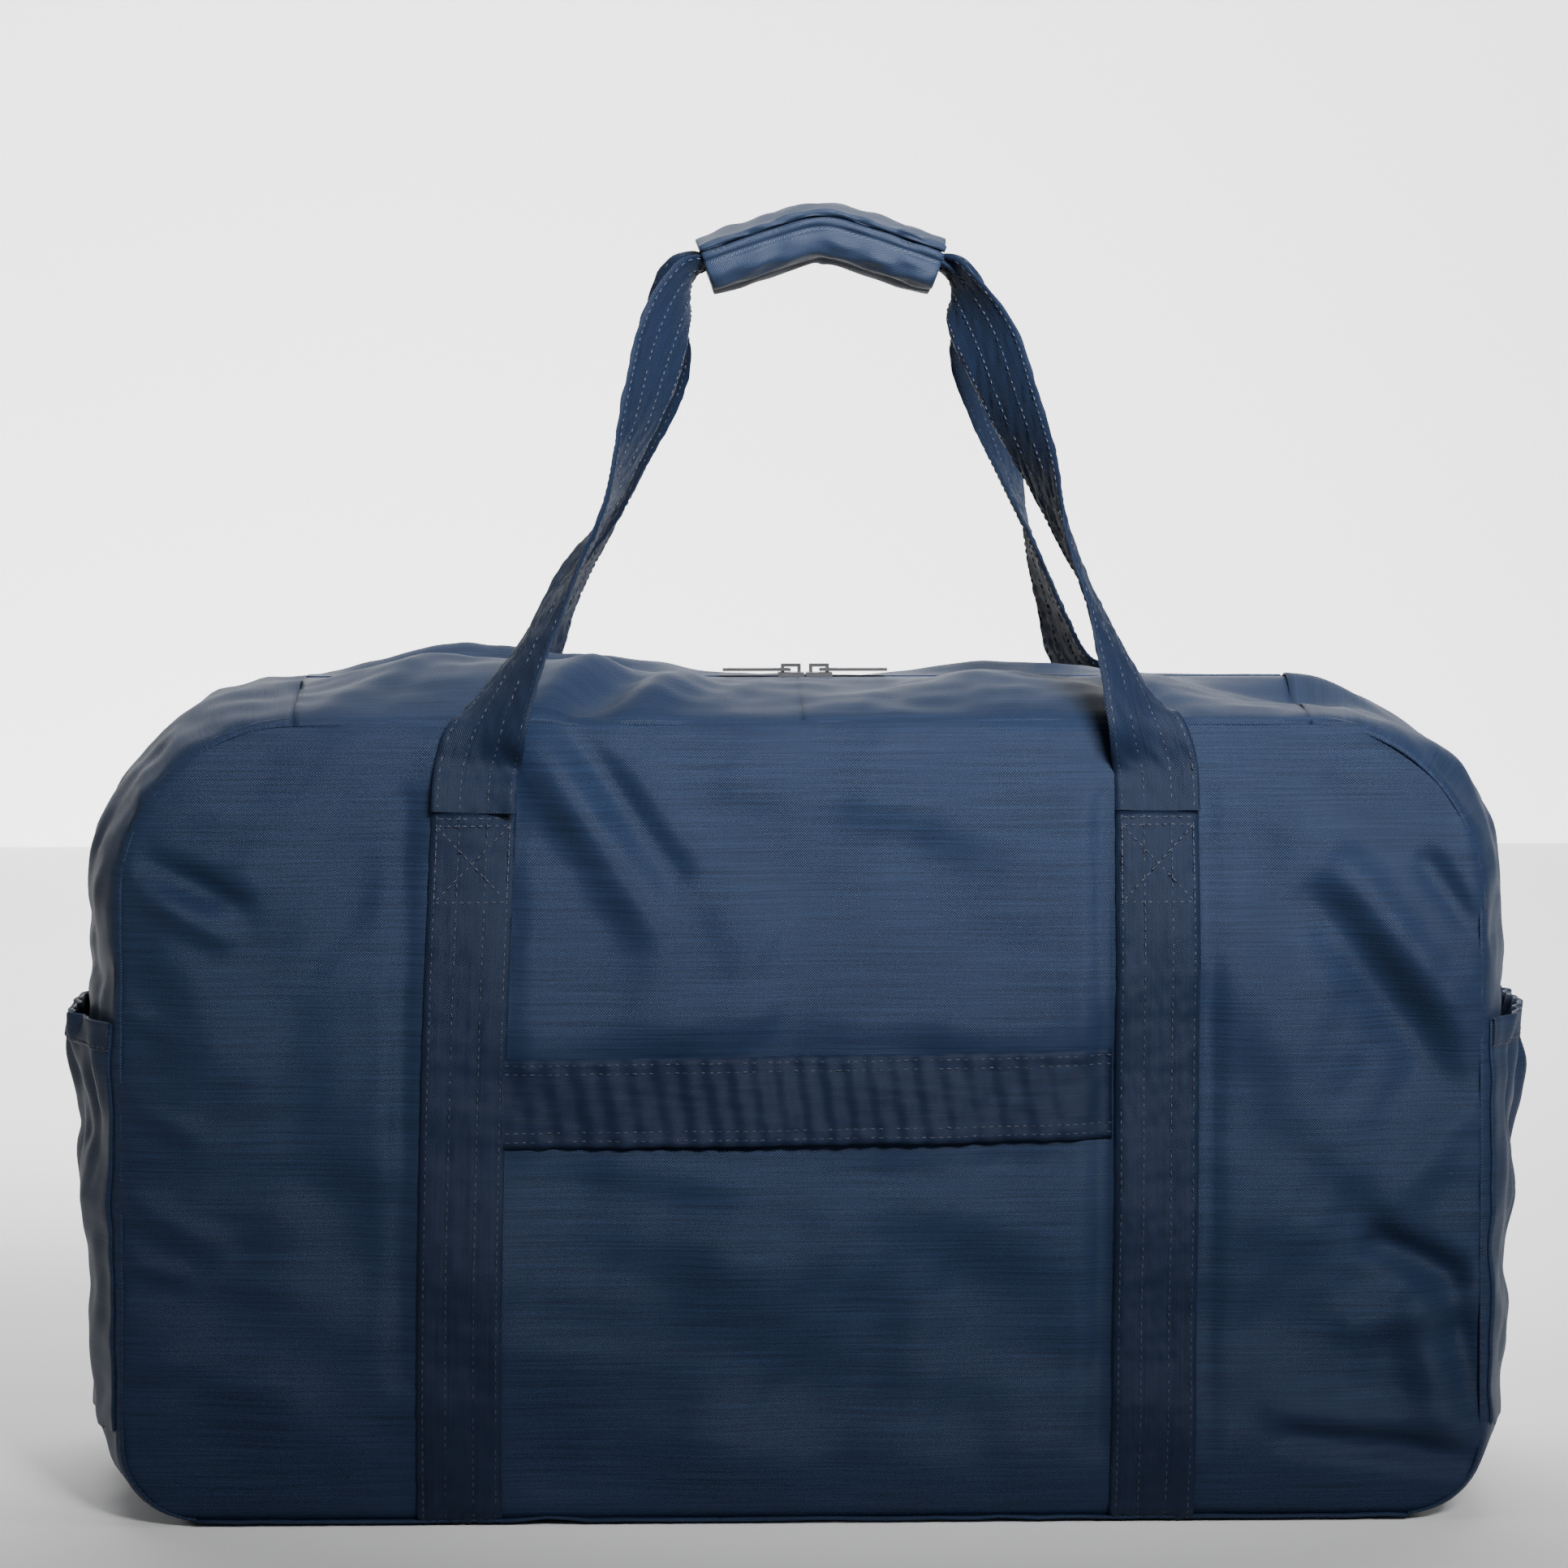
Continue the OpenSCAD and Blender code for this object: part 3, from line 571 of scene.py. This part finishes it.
def strap_surface(side):
    """Path of a strap down the front, under the base and up the back, measured from the front's top."""
    def surf(U, S):
        U, S = np.broadcast_arrays(np.asarray(U, float), np.asarray(S, float))
        z_front, z_back = STRAP_TOP - U, U - BACK_START
        on_front, on_back = z_front > TURN_Z, z_back > TURN_Z
        under = ~on_front & ~on_back
        x = strap_x(side, np.where(on_front, z_front, 0)) + S
        y_front = -front_out(x, np.clip(z_front, 3, 300)) - STRAP_OFF
        y_back = back_out(x, np.clip(z_back, 3, 300)) + STRAP_OFF
        # Under the base: a quarter turn at each end with a straight run between them.
        w = np.clip((U - STRAP_TOP + TURN_Z) / (UNDER + 2 * TURN_Z), 0, 1)
        y0, y1 = -front_out(x, float(TURN_Z)) - STRAP_OFF, back_out(x, float(TURN_Z)) + STRAP_OFF
        a0 = np.clip(w / TURN_SHARE, 0, 1) * math.pi / 2
        a1 = np.clip((1 - w) / TURN_SHARE, 0, 1) * math.pi / 2
        mid = np.clip((w - TURN_SHARE) / (1 - 2 * TURN_SHARE), 0, 1)
        y_under = np.where(w < TURN_SHARE, y0 + TURN_R * (1 - np.cos(a0)), np.where(
            w > 1 - TURN_SHARE, y1 - TURN_R * (1 - np.cos(a1)), (y0 + TURN_R) * (1 - mid) + (y1 - TURN_R) * mid))
        first = w < 0.5
        z_under = TURN_Z - (TURN_R - 0.1) * np.sin(np.where(first, a0, a1))
        y = np.where(under, y_under, np.where(on_front, y_front, y_back))
        z = np.where(under, z_under, np.where(on_front, z_front, z_back)) + LIFT
        ny = np.where(on_front, -1.0, np.where(on_back, 1.0, np.where(first, -np.cos(a0), np.cos(a1))))
        nz = np.where(under, -np.sin(np.where(first, a0, a1)), 0.0)
        return np.stack([x, y, z], -1), np.stack([0 * x, ny, nz], -1)
    return surf


def box_x(parts, surf, u0, u1, s0, s1, lift, mat):
    """A stitched box with a cross inside it, and a second line beside its first end."""
    lines = [((u0, s0), (u0, s1)), ((u0 + 3, s0), (u0 + 3, s1)), ((u1, s0), (u1, s1)), ((u0 + 3, s0), (u1, s0)),
             ((u0 + 3, s1), (u1, s1)), ((u0 + 3, s0), (u1, s1)), ((u0 + 3, s1), (u1, s0))]
    for (ua, sa), (ub, sb) in lines:
        n = max(2, int(math.hypot(ub - ua, sb - sa) / 3.1))
        t = np.arange(n) / n
        t2 = t + 0.78 / n
        A, N = surf(ua + (ub - ua) * t, sa + (sb - sa) * t)
        B, _ = surf(ua + (ub - ua) * t2, sa + (sb - sa) * t2)
        v, f = stitch_parts(A + N * lift, B + N * lift, N, 0.5)
        parts.add(v, f, mat)


straps = {}
for side, sn in ((-1, "left"), (1, "right")):
    surf = strap_surface(side)
    us = np.concatenate([np.arange(0, 276, 2.2), np.linspace(276, 300, 22), np.linspace(303, 505, 40),
                         np.linspace(506, 530, 22), np.arange(532, BACK_START + STRAP_TOP, 2.2)])
    p = Parts()
    sweep(p, surf, us, STRAP_W, 1.7, ROWS, 0, us, pucker=0.46, seed=81 + side)
    stitch_rows(p, surf, us, us, ROWS, 0.7, 1, r=0.36)
    box_x(p, surf, 2.5, 36, -14.6, 14.6, 0.85, 1)
    box_x(p, surf, BACK_START + 283.5, BACK_START + 250, -14.6, 14.6, 0.85, 1)
    straps[sn] = p.make(f"body_strap_{sn}_web", [WEB, THREAD])


# ---------------------------------------------------------------- luggage-handle band
def band_surface(U, S):
    """Outside of the band, arched a little off the panel so that a luggage handle fits behind it."""
    U, S = np.broadcast_arrays(np.asarray(U, float), np.asarray(S, float))
    z = 173.8 - LIFT + S + 1.6 * (U / 120)
    arch = np.clip(1 - (np.abs(U) / 122) ** 2, 0, 1)
    tight = np.clip((122 - np.abs(U)) / 20, 0, 1)
    y = -(front_out(U, z) + 1.2 + 3.4 * arch + 0.62 * tight * np.sin(U / 1.6 + 2 * np.sin(U / 31) + S / 9))
    y = y - 0.7 * tight * (1 - (S / 18) ** 2)
    return np.stack([U, y, z + LIFT], -1), np.broadcast_to([0, -1.0, 0], U.shape + (3,))


us = np.linspace(-121.5, 123.5, 180)
p = Parts()
sweep(p, band_surface, us, 36, 1.8, (-15.4, -11.8, 11.8, 15.4), 0, us, pucker=0.35, seed=90)
stitch_rows(p, band_surface, us, us, (-15.4, -11.8, 11.8, 15.4), 0.65, 1)
band = p.make("trolley_band_cloth", [WEB, THREAD])


# ---------------------------------------------------------------- side pockets
def pocket_surface(side, Z, T, extra=0.0):
    """A pocket at height Z and position T across it, standing further off the gusset towards its mouth."""
    S = np.interp(Z - LIFT, OUTLINE[UPRIGHT, 1], OUT_S[UPRIGHT])
    half = 112 - 8 * (Z / 323) ** 2
    up = np.clip((Z - 34) / 169, 0, 1)
    rise = 1.2 + 7.6 * up**1.5 * (1 - T**4) + 1.1 * waves(T * half * 1.3, Z * 0.35, 26, 95 + side) * up * (1 - T**6)
    rise = rise + 1.8 * np.exp(-((Z - 178) / 12) ** 2) * np.sin(T * half / 4.2) * (1 - T**6)
    return end_surface(side, S, T * 0.965, rise + extra)


pockets, hems = {}, {}
for side, sn in ((-1, "left"), (1, "right")):
    Z, T = np.meshgrid(np.linspace(34, 203, 62), np.linspace(-1, 1, 90), indexing="ij")
    pockets[sn] = sheet_mesh(f"side_pocket_{sn}_cloth", pocket_surface(side, Z, T), np.stack([T * 105, Z], -1), NYLON,
                             flip=side < 0)

    def hem_surf(U, S, side=side):
        U, S = np.broadcast_arrays(np.asarray(U, float), np.asarray(S, float))
        P = pocket_surface(side, 197.5 + S, U / 106, 0.3)
        return P, np.broadcast_to([side, 0, 0.0], U.shape + (3,))
    us = np.linspace(-106, 106, 110)
    p = Parts()
    sweep(p, hem_surf, us, 12, 1.6, (-4.4,), 0, us)
    stitch_rows(p, hem_surf, us, us, (-4.4,), 0.6, 1)
    hems[sn] = p.make(f"pocket_hem_{sn}_cloth", [NYLON, THREAD])


# ---------------------------------------------------------------- handles
# Stations up each leg of a front handle: middle of the webbing, direction of its width, and width.
# Where y is None the webbing lies on the body strap.
LEFT_LEG = [
    ((-132.2, None, 288.2), (1, 0, 0), 34), ((-131.9, None, 297), (1, 0, 0), 34),
    ((-130.4, None, 308), (1, -0.04, 0), 34),
    ((-125, -104.5, 323), (0.86, -0.5, 0), 34), ((-117, -97, 340), (0.58, -0.81, 0), 34),
    ((-108, -88, 357), (0.34, -0.94, 0), 34), ((-96, -76, 379), (0.2, -0.98, 0), 34),
    ((-83, -65, 401), (0.02, -1, 0), 34), ((-73, -52, 425), (-0.26, -0.96, 0.05), 34),
    ((-64, -40, 450), (-0.47, -0.87, 0.15), 34), ((-56, -24.5, 477), (-0.58, -0.76, 0.3), 34),
    ((-49, -11.5, 497), (-0.35, -0.85, 0.35), 32)]
RIGHT_LEG = [
    ((142.6, None, 288.2), (-1, 0, 0), 34), ((142.6, None, 297), (-1, 0, 0), 34),
    ((141.6, None, 308), (-1, -0.04, 0), 34),
    ((136, -104.5, 325), (-0.84, -0.5, 0), 34), ((131, -97, 341), (-0.52, -0.84, 0), 34),
    ((124, -87, 359), (-0.28, -0.95, 0), 34), ((116, -77, 379), (-0.12, -0.99, 0), 34),
    ((108, -65, 400), (0.1, -0.99, 0), 34), ((98.5, -52, 425), (0.36, -0.93, 0.05), 34),
    ((88, -38, 452), (0.56, -0.82, 0.2), 34), ((79.5, -24.5, 477), (0.62, -0.72, 0.3), 34),
    ((70.5, -11.5, 497), (0.38, -0.85, 0.35), 32)]
GRIP_X, GRIP_Z, SLOPE, REACH, PEAK = 11.0, 524.0, math.tan(math.radians(19)), 49.0, 7.0


def catmull(A, n):
    """Smooth curve of n points through the rows of A."""
    A = np.asarray(A, float)
    t = np.linspace(0, len(A) - 1, n)
    i = np.clip(t.astype(int), 0, len(A) - 2)
    f = (t - i)[:, None]
    a, b = A[np.clip(i - 1, 0, None)], A[i]
    c, d = A[i + 1], A[np.clip(i + 2, None, len(A) - 1)]
    return 0.5 * (2 * b + (c - a) * f + (2 * a - 5 * b + 4 * c - d) * f**2 + (3 * b - a - 3 * c + d) * f**3)


def handle(name, sign):
    """One handle, sewn to the front (sign -1) or the back (sign 1) at both ends and held by the grip."""
    out = front_out if sign < 0 else back_out
    squeeze = 0.94 if sign > 0 else 1.0

    def leg_rows(leg):
        rows = []
        for (x, y, z), w, width in leg:
            y = -(float(out(np.array(x), np.array(z - LIFT))) + 1.5) if y is None else y
            k = squeeze if 325 < z < 480 else 1
            rows.append((x * k, y * -sign, z, w[0], w[1] * -sign, w[2], width))
        return rows

    grip_rows = []
    for dx in (-1.04, -0.7, -0.35, 0, 0.35, 0.7, 1.04):
        drop = SLOPE * (math.hypot(dx * REACH, PEAK) - PEAK)
        grip_rows.append((GRIP_X + dx * REACH, 0, GRIP_Z - drop, 0, sign, 0, 27))
    rows = np.array(leg_rows(LEFT_LEG) + grip_rows + leg_rows(RIGHT_LEG)[::-1])
    # The width direction never turns by more than a right angle from one station to the next.
    for i in range(1, len(rows)):
        if rows[i, 3:6] @ rows[i - 1, 3:6] < 0:
            rows[i, 3:6] *= -1
    D = catmull(rows, 420)
    P = D[:, :3]
    T = np.gradient(P, axis=0)
    T /= np.linalg.norm(T, axis=1, keepdims=True)
    W = D[:, 3:6]
    W = W - T * np.sum(W * T, 1, keepdims=True)
    W /= np.linalg.norm(W, axis=1, keepdims=True)
    N = np.cross(W, T)
    if (N[0] @ np.array([0, sign, 0])) < 0:
        N = -N
    # Inside the grip the front handle lies under the back one, so each moves off the middle line.
    offset = np.interp(P[:, 2], [470, 496, 510], [0, 1.6, 1.2]) * (1 if sign < 0 else -1)
    up = np.sign(N[len(P) // 2, 2]) or 1
    P = P - N * (offset * up)[:, None]
    L = distance(P)
    index = np.arange(len(P))
    curl = 1.6 * waves(L, 0 * L, 90, 101 + sign)

    def surf(U, S):
        U, S = np.broadcast_arrays(np.asarray(U, float), np.asarray(S, float))
        g = [np.stack([np.interp(U, index, a[:, k]) for k in range(3)], -1) for a in (P, W, N)]
        width = np.interp(U, index, D[:, 6])
        c = np.interp(U, index, curl)
        s = S * width / 34
        return g[0] + g[1] * s[..., None] + g[2] * (c * ((S / 17) ** 2 - 0.3))[..., None], g[2]
    u = index.astype(float)
    p = Parts()
    sweep(p, surf, u, 34, 2.0, ROWS, 0, L, pucker=0.35, seed=105 + sign)
    stitch_rows(p, surf, u, L, ROWS, 0.72, 1)
    stitch_rows(p, surf, u, L, ROWS, -1.05, 1)
    return p.make(name, [WEB, THREAD])


handles = {"front": handle("handle_front_web", -1), "back": handle("handle_back_web", 1)}


# ---------------------------------------------------------------- grip wrap, flap and patches
def grip_path(n, reach):
    """Middle line of the grip: two straight slopes joined by a rounded peak."""
    x = np.linspace(-reach, reach, n)
    z = -SLOPE * (np.sqrt(x**2 + PEAK**2) - PEAK)
    return x + GRIP_X, z + GRIP_Z


def grip_tube(parts, outline, mat, n=96, reach=REACH, bump=0.5, seed=111, pinch=0.06):
    """Solid padded bar: a closed outline in (y, z) carried along the grip."""
    o = np.asarray(outline, float)
    x, z = grip_path(n, reach)
    k = len(o)
    t = np.linspace(-1, 1, n)
    taper = 1 - pinch * np.clip((np.abs(t) - 0.9) / 0.1, 0, 1) ** 2
    tilt = -SLOPE * (x - GRIP_X) / np.sqrt((x - GRIP_X) ** 2 + PEAK**2)
    nrm = np.sqrt(1 + tilt**2)
    V = np.zeros((n, k, 3))
    X, K = np.meshgrid(x, np.arange(k) / k * 120, indexing="ij")
    puff = 1 + 0.022 * bump * waves(X, K, 20, seed)
    V[..., 0] = x[:, None] - (tilt / nrm)[:, None] * o[None, :, 1] * taper[:, None]
    V[..., 1] = o[None, :, 0] * taper[:, None] * puff
    V[..., 2] = z[:, None] + o[None, :, 1] * (taper / nrm)[:, None] * puff
    faces = grid_faces(n, k, wrap=True).tolist()
    faces.append(list(range(k))[::-1])
    faces.append([(n - 1) * k + j for j in range(k)])
    parts.add(V, faces, mat, np.stack([X, K], -1))


def arc(cy, cz, ry, rz, a0, a1, n):
    """Points of an elliptical arc, with angles in degrees."""
    a = np.radians(np.linspace(a0, a1, n))
    return [(cy + ry * math.cos(t), cz + rz * math.sin(t)) for t in a]


p = Parts()
rolls = arc(7.5, -4.5, 10.5, 9.5, 20, -128, 24) + [(-1.6, -11.2)] + arc(-9.6, -4.2, 8.6, 7.6, -62, -205, 22) \
    + [(-15.8, 0.6)] + arc(-15.4, 2.9, 2.2, 1.9, 235, 40, 9) + [(-12.6, 4.2), (0, 4.0), (13.4, 4.0)] \
    + arc(14.4, 3.6, 3.2, 3.4, 70, 10, 6)
grip_tube(p, rolls[::-1], 0, bump=0.7)
gx, gz = grip_path(40, REACH - 2)
edge = np.stack([gx, np.full_like(gx, -16.9), gz + 4.0], -1)
v, f = stitch_parts(edge[:-1], edge[:-1] + (edge[1:] - edge[:-1]) * 0.75,
                    np.tile([0, -0.7, 0.7], (len(edge) - 1, 1)), 0.4)
p.add(v, f, 1)
wrap = p.make("grip_wrap_padding", [TWILL, THREAD])

p = Parts()
cover = arc(-14.8, 6.6, 2.4, 1.5, 270, 100, 9) + [(-9.5, 8.3), (-3, 8.6), (4, 10.6), (12, 11.9)] \
    + arc(16.8, 10.2, 2.2, 1.8, 80, -80, 8) + [(8, 8.0), (0, 6.3), (-8, 5.4)]
grip_tube(p, cover[::-1], 0, bump=1.6, seed=115)
flap = p.make("grip_flap_padding", [TWILL])


# ---------------------------------------------------------------- finish of the plain CAD parts
for name in ("slider_left", "slider_right", "puller_left", "puller_right"):
    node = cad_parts[name]
    node.data.materials.clear()
    node.data.materials.append(METAL)
for name, z0, z1, body in (("grip_hook_patch", 4.95, 5.35, "flap"), ("grip_loop_patch", 4.15, 4.6, "handles")):
    p = Parts()
    grip_tube(p, [(-7.5, z0), (7.5, z0), (7.5, z1), (-7.5, z1)], 0, n=40, reach=REACH - 5, bump=0, pinch=0)
    patch = p.make(name + "_tape", [LOOPS])
    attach(patch, body)
    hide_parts(name)
for side, sn in ((-1, "left"), (1, "right")):
    p = Parts()
    x = side * np.linspace(190.5, 206, 8)
    y = np.linspace(-8, 8, 9)
    Xg, Yg = np.meshgrid(x, y, indexing="ij")
    tab = sheet_mesh(f"zip_end_{sn}_tab", np.stack([Xg, Yg, strip_z(Xg, 8 + 0 * Yg) - 1.3], -1), np.stack([Xg, Yg], -1),
                     TAPE, thick=1.4, flip=side > 0)
    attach(tab, "rim")
    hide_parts(f"zip_end_{sn}")


def on_wall(obj, node):
    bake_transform(obj)
    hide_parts(node)


on_wall(front, "front_panel")
on_wall(back, "back_panel")
for side, sn in ((-1, "left"), (1, "right")):
    on_wall(gussets[side], f"end_gusset_{sn}")
    on_wall(straps[sn], f"body_strap_{sn}")
    on_wall(pockets[sn], f"side_pocket_{sn}")
    on_wall(hems[sn], f"pocket_hem_{sn}")
on_wall(band, "trolley_band")
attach(base, "shell")
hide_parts("base_panel")
for (fn, sn), obj in strips.items():
    x = -0.165 if sn == "left" else 0.165
    for item, node, slot in ((obj, f"top_strip_{fn}_{sn}", "shell_fabric"),
                             (tapes[fn, sn], f"zip_tape_{fn}", "zip_tape"),
                             (coils[fn, sn], f"zip_coil_{fn}", "zip_coil")):
        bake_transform(item)
        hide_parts(node)
for fn, z1 in (("front", 0.352), ("back", 0.5)):
    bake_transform(handles[fn])
    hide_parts(f"handle_{fn}")
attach(wrap, "handles")
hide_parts("grip_wrap")
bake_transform(flap)
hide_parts("grip_flap")

# ---------------------------------------------------------------- stage
bpy.ops.mesh.primitive_plane_add(size=14, location=(0, 3.5, 0))
floor = bpy.context.object
floor.name = "floor"
floor.data.materials.append(plain("pale_floor", (0.84, 0.84, 0.84), 0.85))
glow = bpy.data.materials.new("white_backdrop")
glow.use_nodes = True
glow_inputs = glow.node_tree.nodes["Principled BSDF"].inputs
glow_inputs["Base Color"].default_value = (0.9, 0.9, 0.9, 1)
glow_inputs["Emission Color"].default_value = (1, 1, 1, 1)
glow_inputs["Emission Strength"].default_value = 1.8
corners = [(x, 3.3, z) for z in (0.0, 2.4) for x in (-1.8, 1.8)]
back_mesh = bpy.data.meshes.new("backdrop")
back_mesh.from_pydata(corners, [], [(0, 1, 3, 2)])
back_mesh.materials.append(glow)
backdrop = bpy.data.objects.new("backdrop", back_mesh)
bpy.context.scene.collection.objects.link(backdrop)
